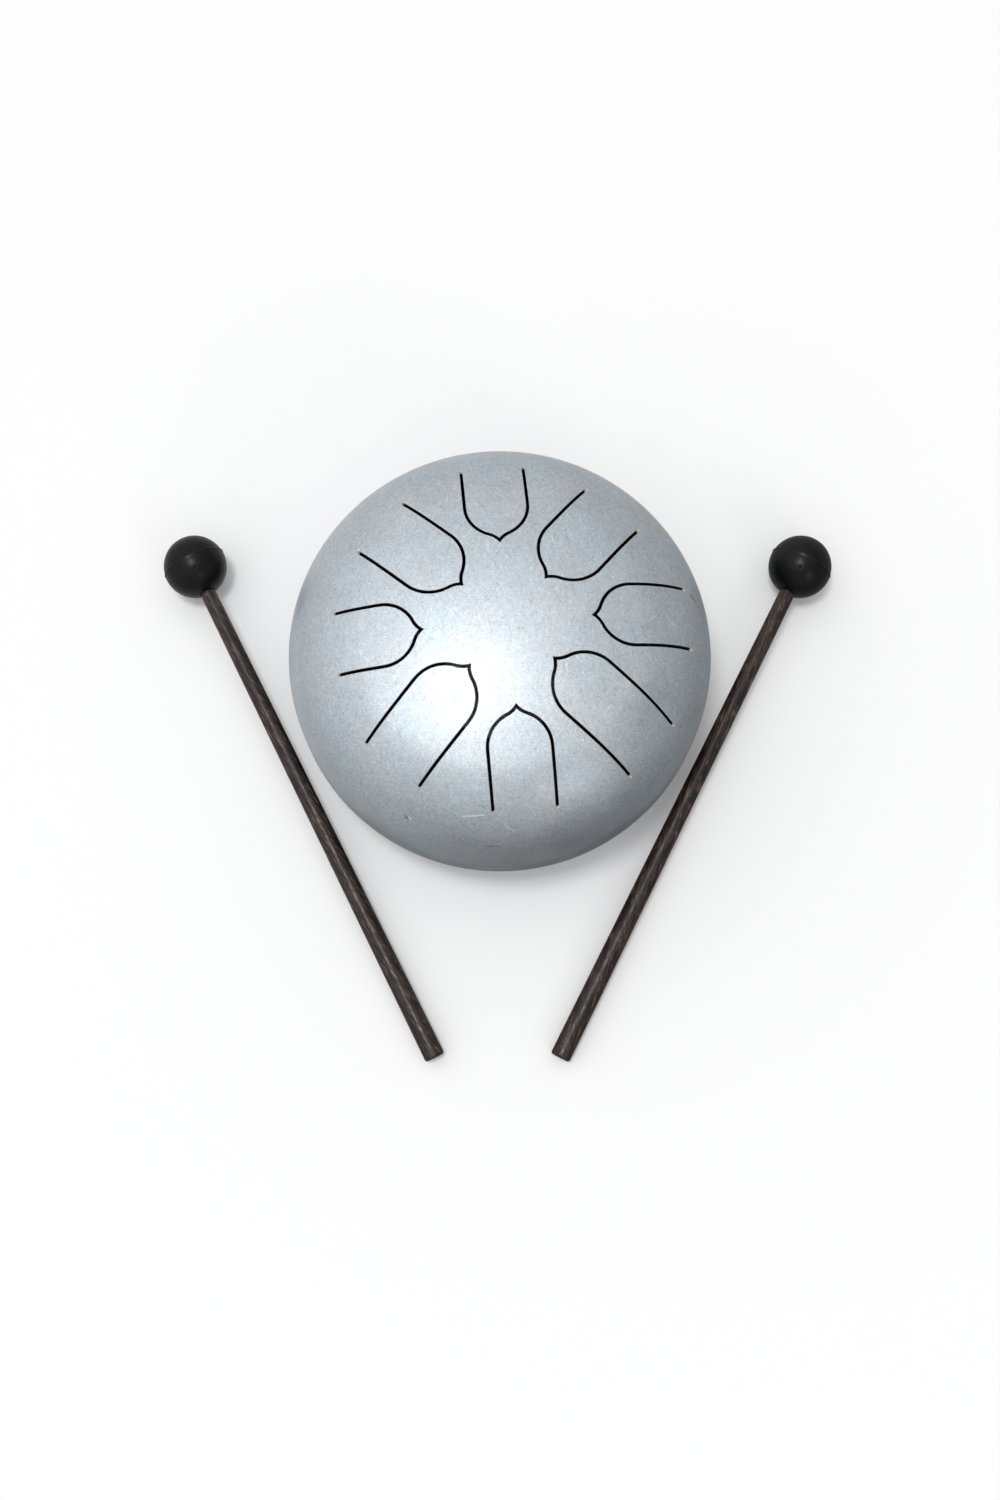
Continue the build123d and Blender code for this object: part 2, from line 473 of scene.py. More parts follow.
@dataclass(frozen=True)
class SatinSteel:
    """Satin sheet steel under fine curly scratches, with a few marks of use and a ding, whose white
    streak is a painted highlight.
    """

    cool: Colour = (0.552, 0.617, 0.668)
    warm: Colour = (0.572, 0.613, 0.648)
    tint_rise: Span = (0.4, 0.65)
    roughness: float = 0.49
    roughness_spread: Span = (-0.04, 0.05)
    cloud_size: float = 0.018
    cloud_rise: Span = (0.2, 0.8)
    cloud_tone: Span = (0.94, 1.05)
    grain_spacing: float = 0.0011
    grain_width: float = 0.00036
    grain_tone: float = 0.145
    curl_spacing: float = 0.0042
    curl_width: float = 0.00042
    curl_bend: float = 2.6
    curl_tone: float = 0.09
    smooth_side: Span = (0.046, 0.061)
    side_grain: float = 0.35
    relief_depth: float = 0.000018
    wave_size: float = 0.030
    speck_colour: Colour = (0.85, 0.86, 0.86)
    speck_spacing: float = 0.0055
    speck_radius: float = 0.00036
    speck_edge: Span = (0.6, 1.2)
    speck_levels: Span = (0.062, 0.078)
    speck_chance: Span = (1.0, 0.25)
    mark_grain: float = 0.0008
    mark_rise: Span = (0.4, 0.6)
    marks: tuple[WearAndHighlightMark, ...] = (
        WearAndHighlightMark(
            (-0.01244, -0.06425, 0.06852), (-0.00531, -0.06398, 0.06977),
            width=0.0007, patchiness=0.1, colour=(0.88, 0.90, 0.93),
        ),
        WearAndHighlightMark(
            (0.0018, -0.06687, 0.06688), (0.00316, -0.06784, 0.06563),
            width=0.0006, patchiness=0.2, colour=(0.82, 0.85, 0.88),
        ),
        WearAndHighlightMark(
            (0.00316, -0.06784, 0.06563), (0.00487, -0.06851, 0.06461),
            width=0.0006, patchiness=0.2, colour=(0.82, 0.85, 0.88),
        ),
        WearAndHighlightMark(
            (-0.0322, -0.0627, 0.0617), (-0.0316, -0.0637, 0.0611),
            width=0.0013, patchiness=0.4, colour=(0.30, 0.27, 0.25),
        ),
        # Painted highlight: a white streak on the ding, beside its brown crescent.
        WearAndHighlightMark(
            (-0.0309, -0.0631, 0.0619), (-0.0307, -0.0636, 0.0615),
            width=0.0012, patchiness=0.1, colour=(0.9, 0.9, 0.9),
        ),
        WearAndHighlightMark(
            (-0.00505, -0.07246, 0.05777), (-0.00024, -0.07263, 0.05775),
            width=0.0011, patchiness=0.6, colour=(0.36, 0.32, 0.30),
        ),
        WearAndHighlightMark(
            (0.06721, 0.01551, 0.0642), (0.06879, 0.0143, 0.06225),
            width=0.0018, patchiness=0.5, colour=(0.36, 0.31, 0.28),
        ),
    )

    def material(self) -> Material:
        """Build the material.

        Returns:
            The material.
        """
        bench = NodeBench.named("satin_steel")
        place = bench.object_place()
        clouds = bench.noise(place, self.cloud_size, 3.0, 1.0)
        relief = self.scratches(bench, place)
        tints = bench.noise(place, self.cloud_size, 2.0, 7.0)
        tint = bench.mix(bench.ramp(tints, self.tint_rise), self.cool, self.warm)
        tone = bench.product(
            bench.value("ADD", relief, 1.0), bench.ramp(clouds, self.cloud_rise, self.cloud_tone)
        )
        colour = bench.mix(self.specks(bench, place), bench.scaled(tint, tone), self.speck_colour)
        grain = bench.noise(place, self.mark_grain, 2.0, 9.0)
        # Marks of use, and the painted highlight on the ding, each laid along its line.
        for mark in self.marks:
            wear_and_highlight = bench.near_line(place, mark.start, mark.end, mark.width)
            patchy = bench.ramp(grain, self.mark_rise, (1 - mark.patchiness, 1.0))
            colour = bench.mix(bench.product(wear_and_highlight, patchy), colour, mark.colour)
        rough = bench.uneven(clouds, self.cloud_rise, self.roughness, self.roughness_spread)
        bench.shade(Base_Color=colour, Metallic=1.0, Roughness=rough)
        waves = bench.noise(place, self.wave_size, 1.0, 3.0)
        bench.bump(bench.value("ADD", waves, relief), self.relief_depth)
        return bench.owner

    def scratches(self, bench: NodeBench, place: NodeSocket) -> NodeSocket:
        """Give the fine grain of the sanded sheet and the curls on it, fainter down the side.

        Args:
            bench: The material's bench.
            place: Where on the surface.

        Returns:
            How much lighter or darker the steel is there.
        """
        total: Wire = 0.0
        for seed in (1.0, 2.0):
            grain = bench.strokes(place, self.grain_spacing, self.grain_width, seed)
            total = bench.value("ADD", total, bench.product(grain, self.grain_tone))
        for seed in (3.0, 4.0):
            curls = bench.strokes(place, self.curl_spacing, self.curl_width, seed, self.curl_bend)
            total = bench.value("ADD", total, bench.product(curls, self.curl_tone))
        fade = bench.ramp(bench.part(place, 2), self.smooth_side, (self.side_grain, 1.0))
        return bench.product(total, fade)

    def specks(self, bench: NodeBench, place: NodeSocket) -> NodeSocket:
        """Give tiny bright specks that gather towards the side.

        Args:
            bench: The material's bench.
            place: Where on the surface.

        Returns:
            One on a speck, zero elsewhere.
        """
        inputs = {"Vector": place, "Scale": 1 / self.speck_spacing}
        cells = bench.add("ShaderNodeTexVoronoi", inputs)
        radius = self.speck_radius / self.speck_spacing
        edge = tuple(radius * share for share in self.speck_edge)
        speck = bench.ramp(cells.outputs["Distance"], edge, (1.0, 0.0))
        outwards = bench.ramp(bench.part(place, 2), self.speck_levels, self.speck_chance)
        present = bench.value("LESS_THAN", bench.part(cells.outputs["Color"], 0), outwards)
        return bench.product(speck, present)


@dataclass(frozen=True)
class PlainSteel:
    """Steel that shows little: the weld, the slot walls and the inside, which are near black as
    painted shade, and the slot ends, which carry a painted glint.
    """

    name: str
    colour: Colour
    second_colour: Colour
    roughness: float
    spot_size: float
    metal: float = 1.0
    depth: float = 0.00001
    spot_rise: Span = (0.35, 0.65)
    roughness_rise: Span = (0.2, 0.8)
    roughness_spread: Span = (-0.08, 0.08)

    def material(self) -> Material:
        """Build the material.

        Returns:
            The material.
        """
        bench = NodeBench.named(self.name)
        spots = bench.noise(bench.object_place(), self.spot_size, 4.0, 1.0)
        colour = bench.mix(bench.ramp(spots, self.spot_rise), self.colour, self.second_colour)
        rough = bench.uneven(spots, self.roughness_rise, self.roughness, self.roughness_spread)
        bench.shade(Base_Color=colour, Metallic=self.metal, Roughness=rough)
        bench.bump(spots, self.depth)
        return bench.owner


@dataclass(frozen=True)
class Rubber:
    """Black moulded rubber with a satin skin, faint bloom and fine scuffs."""

    name: str
    colour: Colour
    bloom: Colour
    roughness: float
    sheen_level: float = 0.25
    skin: float = 0.0
    skin_roughness: float = 0.2
    roughness_rise: Span = (0.2, 0.8)
    roughness_spread: Span = (-0.05, 0.07)
    bloom_size: float = 0.006
    bloom_rise: Span = (0.4, 0.75)
    bloom_share: Span = (0.0, 0.7)
    scuff_share: float = 0.5
    grain_size: float = 0.0004
    grain_depth: float = 0.000012

    def material(self) -> Material:
        """Build the material.

        Returns:
            The material.
        """
        bench = NodeBench.named(self.name)
        place = bench.rest_place()
        clouds = bench.noise(place, self.bloom_size, 4.0, 1.0)
        scuffs = bench.strokes(place, self.bloom_size, self.grain_size, 3.0)
        dull = bench.ramp(clouds, self.bloom_rise, self.bloom_share)
        scuffed = bench.product(bench.value("ABSOLUTE", scuffs), self.scuff_share)
        share = bench.value("ADD", dull, scuffed)
        rough = bench.uneven(clouds, self.roughness_rise, self.roughness, self.roughness_spread)
        bench.shade(
            Base_Color=bench.mix(share, self.colour, self.bloom),
            Roughness=rough,
            Specular_IOR_Level=self.sheen_level,
            Coat_Weight=self.skin,
            Coat_Roughness=self.skin_roughness,
        )
        bench.bump(bench.noise(place, self.grain_size, 2.0, 5.0), self.grain_depth)
        return bench.owner


@dataclass(frozen=True)
class DarkWood:
    """Oiled dark hardwood with long brown streaks and fine pores."""

    dark: Colour = (0.0075, 0.0036, 0.0024)
    brown: Colour = (0.038, 0.0208, 0.0142)
    fleck: Colour = (0.155, 0.098, 0.068)
    roughness: float = 0.35
    roughness_rise: Span = (0.3, 0.7)
    roughness_spread: Span = (0.15, -0.08)
    sheen_level: float = 0.42
    streak_length: float = 0.0055
    streak_width: float = 0.0007
    brown_rise: Span = (0.40, 0.60)
    fleck_rise: Span = (0.54, 0.64)
    fleck_streak_rise: Span = (0.47, 0.58)
    fine_share: float = 0.5
    twist: float = 50.0
    pore_depth: float = 0.000018

    def material(self) -> Material:
        """Build the material.

        Returns:
            The material.
        """
        bench = NodeBench.named("dark_wood")
        stretch = (1.0, 1.0, self.streak_width / self.streak_length)
        inputs = {"Vector": self.twisted(bench, bench.rest_place()), "Scale": stretch}
        grain = bench.add("ShaderNodeMapping", inputs).outputs[0]
        streaks = bench.noise(grain, self.streak_width, 3.0, 1.0)
        fine = bench.noise(grain, self.streak_width * self.fine_share, 2.0, 4.0)
        colour = bench.mix(bench.ramp(streaks, self.brown_rise), self.dark, self.brown)
        lit = bench.product(
            bench.ramp(fine, self.fleck_rise), bench.ramp(streaks, self.fleck_streak_rise)
        )
        rough = bench.uneven(fine, self.roughness_rise, self.roughness, self.roughness_spread)
        bench.shade(
            Base_Color=bench.mix(lit, colour, self.fleck),
            Roughness=rough,
            Specular_IOR_Level=self.sheen_level,
        )
        bench.bump(fine, self.pore_depth)
        return bench.owner

    def twisted(self, bench: NodeBench, place: NodeSocket) -> NodeSocket:
        """Turn a place on the stick slowly round its length, for the grain."""
        inputs = {"Vector": place, "Angle": bench.product(bench.part(place, 2), self.twist)}
        return bench.add("ShaderNodeVectorRotate", inputs, rotation_type="Z_AXIS").outputs[0]


# Painted shade: the slot walls are near black and not metal, so that the slots read dark.
SLOT_WALL = PlainSteel(
    "slot_wall", (0.020, 0.017, 0.014), (0.050, 0.042, 0.034),
    roughness=0.6, spot_size=0.001, metal=0.0,
)
# Painted glint: the slot ends are pale gold, lighter than the sheet, on a ramp that also catches
# the light.
RUN_OUT = PlainSteel(
    "slot_run_out", (0.72, 0.44, 0.18), (0.88, 0.76, 0.58),
    roughness=0.45, spot_size=0.0006, metal=0.2,
)
BRIGHT_EDGE = PlainSteel(
    "bright_edge", (0.72, 0.75, 0.78), (0.82, 0.84, 0.86),
    roughness=0.4, spot_size=0.002,
)
# Painted shade: the inside of the shells is near black, so that the slots and the sound hole look
# into the dark.
PAINTED_SHADE_INSIDE = PlainSteel(
    "bare_inside", (0.05, 0.05, 0.05), (0.08, 0.075, 0.07),
    roughness=0.7, spot_size=0.01, metal=0.5,
)
GROUND_WELD = PlainSteel(
    "ground_weld", (0.50, 0.55, 0.60), (0.58, 0.63, 0.68),
    roughness=0.44, spot_size=0.002,
)
FOOT_RUBBER = Rubber("foot_rubber", (0.022, 0.022, 0.022), (0.05, 0.05, 0.05), roughness=0.6)
HEAD_RUBBER = Rubber(
    "head_rubber", (0.0010, 0.0010, 0.0012), (0.0035, 0.0035, 0.004),
    roughness=0.45, sheen_level=0.04, skin=0.40, skin_roughness=0.33,
)


@dataclass(frozen=True)
class DomeShape:
    """The dome's section: a crown arc, a shoulder arc and a straight side."""

    radius: float
    apex_level: float
    weld_level: float
    height: float = 0.044
    crown_radius: float = 0.171
    sheet: float = 0.0015
    bowl_corner_level: float = 0.028
    bowl_corner_radius: float = 0.024
    ease_height: float = 0.009
    face_angle: float = 14.0

    @property
    def rim_level(self) -> float:
        """Give the height at which the straight side starts."""
        return self.apex_level - self.height

    @property
    def shoulder_radius(self) -> float:
        """Give the radius of the shoulder, which meets the crown and the side smoothly."""
        spare = self.radius**2 + self.height**2 - 2 * self.height * self.crown_radius
        return spare / (2 * (self.radius - self.crown_radius))

    @property
    def shoulder_offset(self) -> float:
        """Give how far the shoulder's centre lies from the axis."""
        return self.radius - self.shoulder_radius

    @property
    def turn(self) -> float:
        """Give the slope where the crown meets the shoulder, in degrees."""
        return math.degrees(math.atan2(self.shoulder_offset, self.crown_radius - self.height))

    def level(self, x: float, y: float, inset: float = 0.0) -> float:
        """Give the dome's height above a point.

        Args:
            x: The point's x.
            y: The point's y.
            inset: How far below the outer face, square to the sheet.

        Returns:
            The height above the table.
        """
        reach = math.hypot(x, y)
        crown = self.crown_radius - inset
        if reach < crown * math.sin(math.radians(self.turn)):
            return self.apex_level - self.crown_radius + math.sqrt(crown**2 - reach**2)
        shoulder = self.shoulder_radius - inset
        past_centre = reach - self.shoulder_offset
        return self.rim_level + math.sqrt(max(0.0, shoulder**2 - past_centre**2))

    def normal(self, place: Vector) -> Vector:
        """Give the outward direction of the sheet near a place.

        Args:
            place: The place, on or near the sheet.

        Returns:
            The direction, one long.
        """
        outwards = Vector((place.x, place.y, 0)).normalized()
        if place.z < self.eased_top:
            tilt = self.eased_tilt(place.z)
            return outwards * math.cos(tilt) + UP * math.sin(tilt)
        from_crown = place - UP * (self.apex_level - self.crown_radius)
        if math.degrees(from_crown.angle(UP)) <= self.turn:
            return from_crown.normalized()
        centre = outwards * self.shoulder_offset + UP * self.rim_level
        return (place - centre).normalized()

    @property
    def eased_top(self) -> float:
        """Give the height from which the side's shading eases into the shoulder."""
        return self.rim_level + self.ease_height

    def eased_tilt(self, height: float) -> float:
        """Give the tilt of the side's face, eased from the shoulder to the bowl's corner.

        Args:
            height: The height above the table, below the eased top.

        Returns:
            The tilt above level, in radians.
        """
        low, high = self.bowl_corner_level - self.ease_height, self.eased_top
        top = math.asin(self.ease_height / self.shoulder_radius)
        bottom = -math.asin(self.ease_height / self.bowl_corner_radius)
        run = high - low
        top_slope = run / (self.shoulder_radius * math.cos(top))
        bottom_slope = run / (self.bowl_corner_radius * math.cos(bottom))
        if height < low:
            return -math.asin(min(1.0, (self.bowl_corner_level - height) / self.bowl_corner_radius))
        share = (height - low) / run
        return (
            (2 * share**3 - 3 * share**2 + 1) * bottom
            + (share**3 - 2 * share**2 + share) * bottom_slope
            + (3 * share**2 - 2 * share**3) * top
            + (share**3 - share**2) * top_slope
        )

    def dress(self, piece: Object) -> None:
        """Shade a cut sheet as the smooth form that it was cut from.

        Args:
            piece: The piece of the sheet.
        """
        MeshBench.smooth(piece)
        mesh = piece.data
        normals = [(0.0, 0.0, 0.0)] * len(mesh.loops)
        for face in mesh.polygons:
            facing = face.normal.dot(self.normal(face.center))
            if abs(facing) < math.cos(math.radians(self.face_angle)):
                continue
            for corner in face.loop_indices:
                place = mesh.vertices[mesh.loops[corner].vertex_index].co
                normals[corner] = self.normal(place) * math.copysign(1, facing)
        mesh.normals_split_custom_set(normals)

    def curve(self, inset: float, crown_steps: int, shoulder_steps: int) -> list[Point]:
        """Give the section from the axis to the straight side.

        Args:
            inset: How far inside the outer face.
            crown_steps: How many chords the crown has.
            shoulder_steps: How many chords the shoulder has.

        Returns:
            The section's points.
        """
        crown_centre = (0.0, self.apex_level - self.crown_radius)
        shoulder_centre = (self.shoulder_offset, self.rim_level)
        bend = 90 - self.turn
        return [
            *arc(crown_centre, self.crown_radius - inset, 90, bend, crown_steps),
            *arc(shoulder_centre, self.shoulder_radius - inset, bend, 0, shoulder_steps),
        ]


@dataclass(frozen=True)
class TongueShape:
    """One tongue in plan: u runs outwards from the pattern's centre and v across."""

    name: str
    angle: float
    half_width: float
    tip_reach: float
    root_reach: float
    pattern_shift: float = 0.0028
    shoulder_share: float = 1.09
    ogee_angle: float = 68.0
    tip_half_angle: float = 38.0
    hollow_steps: int = 10
    shoulder_steps: int = 26
    leg_steps: int = 14

    def flank(self, growth: float, root: float) -> list[Point]:
        """Give one side of the tongue, from its tip to its root.

        Args:
            growth: How far outside the slot's middle line.
            root: How far out the side ends.

        Returns:
            The points (u, v) of the side.
        """
        tip, ogee = math.radians(self.tip_half_angle), math.radians(self.ogee_angle)
        shoulder = self.half_width * self.shoulder_share
        hollow = self.half_width - shoulder * (1 - math.cos(ogee))
        hollow /= math.cos(tip) - math.cos(ogee)
        centre = (self.tip_reach - hollow * math.sin(tip), hollow * math.cos(tip))
        reach = hollow + shoulder
        shoulder_centre = (centre[0] + reach * math.sin(ogee), centre[1] - reach * math.cos(ogee))
        start = math.degrees(math.acos(centre[1] / (hollow - growth)))
        side = self.half_width + growth
        turn = self.ogee_angle
        return without_repeats(
            [
                *arc(centre, hollow - growth, start - 90, turn - 90, self.hollow_steps),
                *arc(shoulder_centre, shoulder + growth, turn + 90, 90, self.shoulder_steps),
                *line((shoulder_centre[0], side), (root, side), self.leg_steps),
            ]
        )

    def in_plan(self, point: Point) -> Point:
        """Give a point of the tongue in the drum's plan.

        Args:
            point: The point (u, v).

        Returns:
            The point (x, y).
        """
        turn = math.radians(self.angle)
        u, v = point
        return (
            self.pattern_shift + u * math.cos(turn) - v * math.sin(turn),
            u * math.sin(turn) + v * math.cos(turn),
        )


@dataclass(frozen=True)
class TonguePattern:
    """The eight tongues, short and long in turn, clockwise from the far side."""

    radius: float
    turn: float = 95.4
    short_width: float = 0.0219
    long_width: float = 0.0235
    short_tip_reach: float = 0.0295
    long_tip_reach: float = 0.0205
    root_shares: tuple[float, ...] = (
        0.780, 0.747, 0.820, 0.834, 0.812, 0.802, 0.769, 0.751
    )

    def tongues(self) -> list[TongueShape]:
        """Give every tongue of the pattern.

        Returns:
            The tongues, in order of their numbers.
        """
        step = 360 / len(self.root_shares)
        return [
            TongueShape(
                name=f"tongue_{index + 1}",
                angle=self.turn - index * step,
                half_width=(self.long_width if index % 2 else self.short_width) / 2,
                tip_reach=self.long_tip_reach if index % 2 else self.short_tip_reach,
                root_reach=share * self.radius,
            )
            for index, share in enumerate(self.root_shares)
        ]


@dataclass
class TopShell:
    """The domed sheet with its eight tongues, each freed by a slot."""

    dome: DomeShape
    pattern: TonguePattern
    slot_width: float = 0.0011
    edge_break: float = 0.00012
    root_gap: float = 0.00003
    root_gap_above: float = 0.00001
    run_out: float = 0.0010
    run_out_start: float = 0.00005
    weld_depth: float = 0.0009
    turn_steps: int = 256
    end_steps: int = 8
    side_steps: int = 3
    outer_steps: tuple[int, int] = (44, 44)
    inner_steps: tuple[int, int] = (14, 18)

    def build(self, finishes: Sequence[Material]) -> list[Object]:
        """Model the shell and its tongues.

        Args:
            finishes: The sheet's materials, in the order of SheetFace.

        Returns:
            The top shell, then the tongues.
        """
        blank = self.blank(finishes)
        pieces = []
        for tongue in self.pattern.tongues():
            leaf = MeshBench.copied(blank, f"{tongue.name}_sheet")
            MeshBench.cut(leaf, self.cutter([self.leaf_loops(tongue)], finishes), Cut.KEEP_INSIDE)
            self.dome.dress(leaf)
            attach(leaf, tongue.name)
            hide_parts(tongue.name)
            pieces.append(leaf)
        windows = [self.window_loops(tongue) for tongue in self.pattern.tongues()]
        MeshBench.cut(blank, self.cutter(windows, finishes), Cut.TAKE_AWAY)
        self.dome.dress(blank)
        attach(blank, "drum")
        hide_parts("top_shell")
        return [blank, *pieces]

    def blank(self, finishes: Sequence[Material]) -> Object:
        """Spin the dome as pressed, before its tongues are cut.

        Args:
            finishes: The sheet's materials.

        Returns:
            The uncut dome.
        """
        dome = self.dome
        side_end = (dome.radius, dome.weld_level + self.weld_depth)
        section = [
            *dome.curve(0.0, *self.outer_steps),
            *line((dome.radius, dome.rim_level), side_end, self.side_steps),
            (dome.radius - self.weld_depth, dome.weld_level),
            (dome.radius - dome.sheet, dome.weld_level),
            *reversed(dome.curve(dome.sheet, *self.inner_steps)),
        ]
        blank = MeshBench.turned("top_shell_sheet", section, self.turn_steps)
        for finish in finishes:
            blank.data.materials.append(finish)
        for face in blank.data.polygons:
            if face.normal.dot(dome.normal(face.center)) < 0:
                face.material_index = SheetFace.INSIDE
        return blank

    def leaf_loops(self, tongue: TongueShape) -> list[Loop]:
        """Give the loops of the shape that a tongue is kept inside, from below upwards.

        Args:
            tongue: The tongue.

        Returns:
            Each loop as places, with the face kind of the wall from there to the next place.
        """
        half = self.slot_width / 2
        growth = -half - 2 * self.edge_break
        wide = self.mirrored(tongue.flank(-half, tongue.root_reach))
        narrow = self.mirrored(tongue.flank(growth, tongue.root_reach))
        stack = [
            [(point, kind) for point in outline]
            for outline, kind in (
                (wide, SheetFace.SLOT_WALL),
                (wide, SheetFace.EDGE),
                (narrow, SheetFace.EDGE),
                (narrow, SheetFace.EDGE),
            )
        ]
        return self.raised(tongue, stack, [None, -self.edge_break, self.edge_break, None])

    def window_loops(self, tongue: TongueShape) -> list[Loop]:
        """Give the loops of the shape that is cut away round a tongue, from below upwards.

        Args:
            tongue: The tongue.

        Returns:
            Each loop as places, with the face kind of the wall from there to the next place.
        """
        break_width = 2 * self.edge_break
        root = tongue.root_reach + self.root_gap
        root_above = tongue.root_reach + self.root_gap_above
        low = self.window_outline(tongue, root, 0.0, self.run_out_start, SheetFace.SLOT_WALL)
        full = self.window_outline(tongue, root_above, 0.0, self.run_out, SheetFace.EDGE)
        wide = self.window_outline(
            tongue, root_above, break_width, self.run_out + break_width, SheetFace.EDGE
        )
        below_sheet = -self.dome.sheet - self.run_out_start
        levels = [None, below_sheet, -self.edge_break, self.edge_break, None]
        return self.raised(tongue, [low, low, full, wide, wide], levels)

    def window_outline(
        self, tongue: TongueShape, root: float, growth: float, run_out: float, kind: SheetFace
    ) -> Outline:
        """Give the outline of a window with its two slot ends.

        Args:
            tongue: The tongue in the window.
            root: How far out the window's root wall lies.
            growth: How far outside the slot's outer wall.
            run_out: How far each slot runs past the root.
            kind: The face kind along the sides.

        Returns:
            The points (u, v), each with its face kind.
        """
        half = self.slot_width / 2 + growth
        side = [(point, kind) for point in tongue.flank(half, root)]
        end_kind = SheetFace.RUN_OUT if kind is SheetFace.SLOT_WALL else kind
        for turn in spread(0, math.pi, self.end_steps):
            point = (root + run_out * math.sin(turn), tongue.half_width + half * math.cos(turn))
            side.append((point, end_kind))
        side[-1] = (side[-1][0], kind)
        del side[-self.end_steps - 2]
        walls = [kind] + [kind_here for _, kind_here in side[1:-1]]
        back = [((u, -v), wall) for ((u, v), _), wall in zip(side[1:], walls)]
        return side + back[::-1]

    @staticmethod
    def mirrored(side: list[Point]) -> list[Point]:
        """Close a side that starts on the middle line with its mirror image."""
        return side + [(u, -v) for u, v in reversed(side[1:])]

    def raised(
        self, tongue: TongueShape, outlines: list[Outline], levels: list[float | None]
    ) -> list[Loop]:
        """Lift plan outlines to the dome.

        Args:
            tongue: The tongue that the outlines belong to.
            outlines: The outlines, from below upwards.
            levels: How far above the dome's face each lies, or None where it is clear of the sheet.

        Returns:
            The loops in the drum's frame.
        """
        clear = (self.dome.rim_level, self.dome.apex_level + self.dome.height)
        loops = []
        for index, (outline, level) in enumerate(zip(outlines, levels)):
            loop = []
            for point, kind in outline:
                x, y = tongue.in_plan(point)
                on_dome = level is not None
                height = self.dome.level(x, y) + level if on_dome else clear[min(index, 1)]
                loop.append((Vector((x, y, height)), kind))
            loops.append(loop)
        return loops

    @staticmethod
    def cutter(shapes: list[list[Loop]], finishes: Sequence[Material]) -> Object:
        """Skin stacks of loops into closed shapes in one object.

        Args:
            shapes: For each closed shape, its loops from below upwards.
            finishes: The sheet's materials, which the walls hand on to what they cut.

        Returns:
            The cutting object.
        """
        skin = bmesh.new()
        for loops in shapes:
            rings = [[skin.verts.new(place) for place, _ in loop] for loop in loops]
            skin.faces.new(reversed(rings[0]))
            skin.faces.new(rings[-1])
            for lower, upper, loop in zip(rings, rings[1:], loops):
                for index in range(len(lower)):
                    after = (index + 1) % len(lower)
                    wall = skin.faces.new((lower[index], lower[after], upper[after], upper[index]))
                    wall.material_index = loop[index][1]
        bmesh.ops.triangulate(skin, faces=skin.faces)
        bmesh.ops.recalc_face_normals(skin, faces=skin.faces)
        mesh = bpy.data.meshes.new("slot_cutter")
        skin.to_mesh(mesh)
        skin.free()
        for finish in finishes:
            mesh.materials.append(finish)
        cutter = bpy.data.objects.new("slot_cutter", mesh)
        bpy.context.scene.collection.objects.link(cutter)
        return cutter


@dataclass
class BottomShell:
    """The straight-sided bowl with its sound hole and foot holes."""

    dome: DomeShape
    base_level: float
    corner_radius: float = 0.024
    sheet: float = 0.0015
    hole_radius: float = 0.022
    hole_edge: float = 0.0004
    weld_depth: float = 0.0009
    foot_hole_radius: float = 0.0026
    foot_hole_depth: float = 0.006
    level_facing: float = 0.5
    turn_steps: int = 256
    edge_steps: int = 5
    floor_steps: int = 10
    corner_steps: int = 22
    foot_hole_steps: int = 48

    @property
    def flat_radius(self) -> float:
        """Give where the flat floor ends and the corner starts."""
        return self.dome.radius - self.corner_radius

    def build(self, outside: Material, inside: Material, feet: Sequence[Point]) -> Object:
        """Model the bowl.

        Args:
            outside: The finish that shows.
            inside: The finish inside, near black as painted shade.
            feet: Where the feet stand.

        Returns:
            The bottom shell.
        """
        base = self.base_level
        corner = (self.flat_radius, base + self.corner_radius)
        floor = base + self.sheet
        edge = self.hole_radius + self.hole_edge
        radius, weld = self.dome.radius, self.dome.weld_level
        inner = radius - self.sheet
        section = [
            *line((edge, base), (self.flat_radius, base), self.floor_steps),
            *arc(corner, self.corner_radius, -90, 0, self.corner_steps),
            (radius, weld - self.weld_depth),
            (radius - self.weld_depth, weld),
            (inner, weld),
            *arc(corner, self.corner_radius - self.sheet, 0, -90, self.corner_steps),
            *line((self.flat_radius, floor), (edge, floor), self.floor_steps),
            *arc((edge, floor - self.hole_edge), self.hole_edge, 90, 180, self.edge_steps),
            *arc((edge, base + self.hole_edge), self.hole_edge, 180, 270, self.edge_steps),
        ]
        bowl = MeshBench.turned("bottom_shell_bowl", section, self.turn_steps)
        bowl.data.materials.append(outside)
        bowl.data.materials.append(inside)
        for face in bowl.data.polygons:
            middle_xy, height = face.center.xy, face.center.z
            reach = middle_xy.length
            is_floor = face.normal.z > self.level_facing and reach > edge
            is_wall = reach < inner and height > floor and face.normal.xy.dot(middle_xy) < 0
            face.material_index = int((is_floor or is_wall) and height > floor - MERGE_DISTANCE)
        for x, y in feet:
            bpy.ops.mesh.primitive_cylinder_add(
                vertices=self.foot_hole_steps,
                radius=self.foot_hole_radius,
                depth=self.foot_hole_depth,
                location=(x, y, base),
            )
            MeshBench.cut(bowl, bpy.context.object, Cut.TAKE_AWAY)
        self.dome.dress(bowl)
        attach(bowl, "drum")
        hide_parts("bottom_shell")
        return bowl


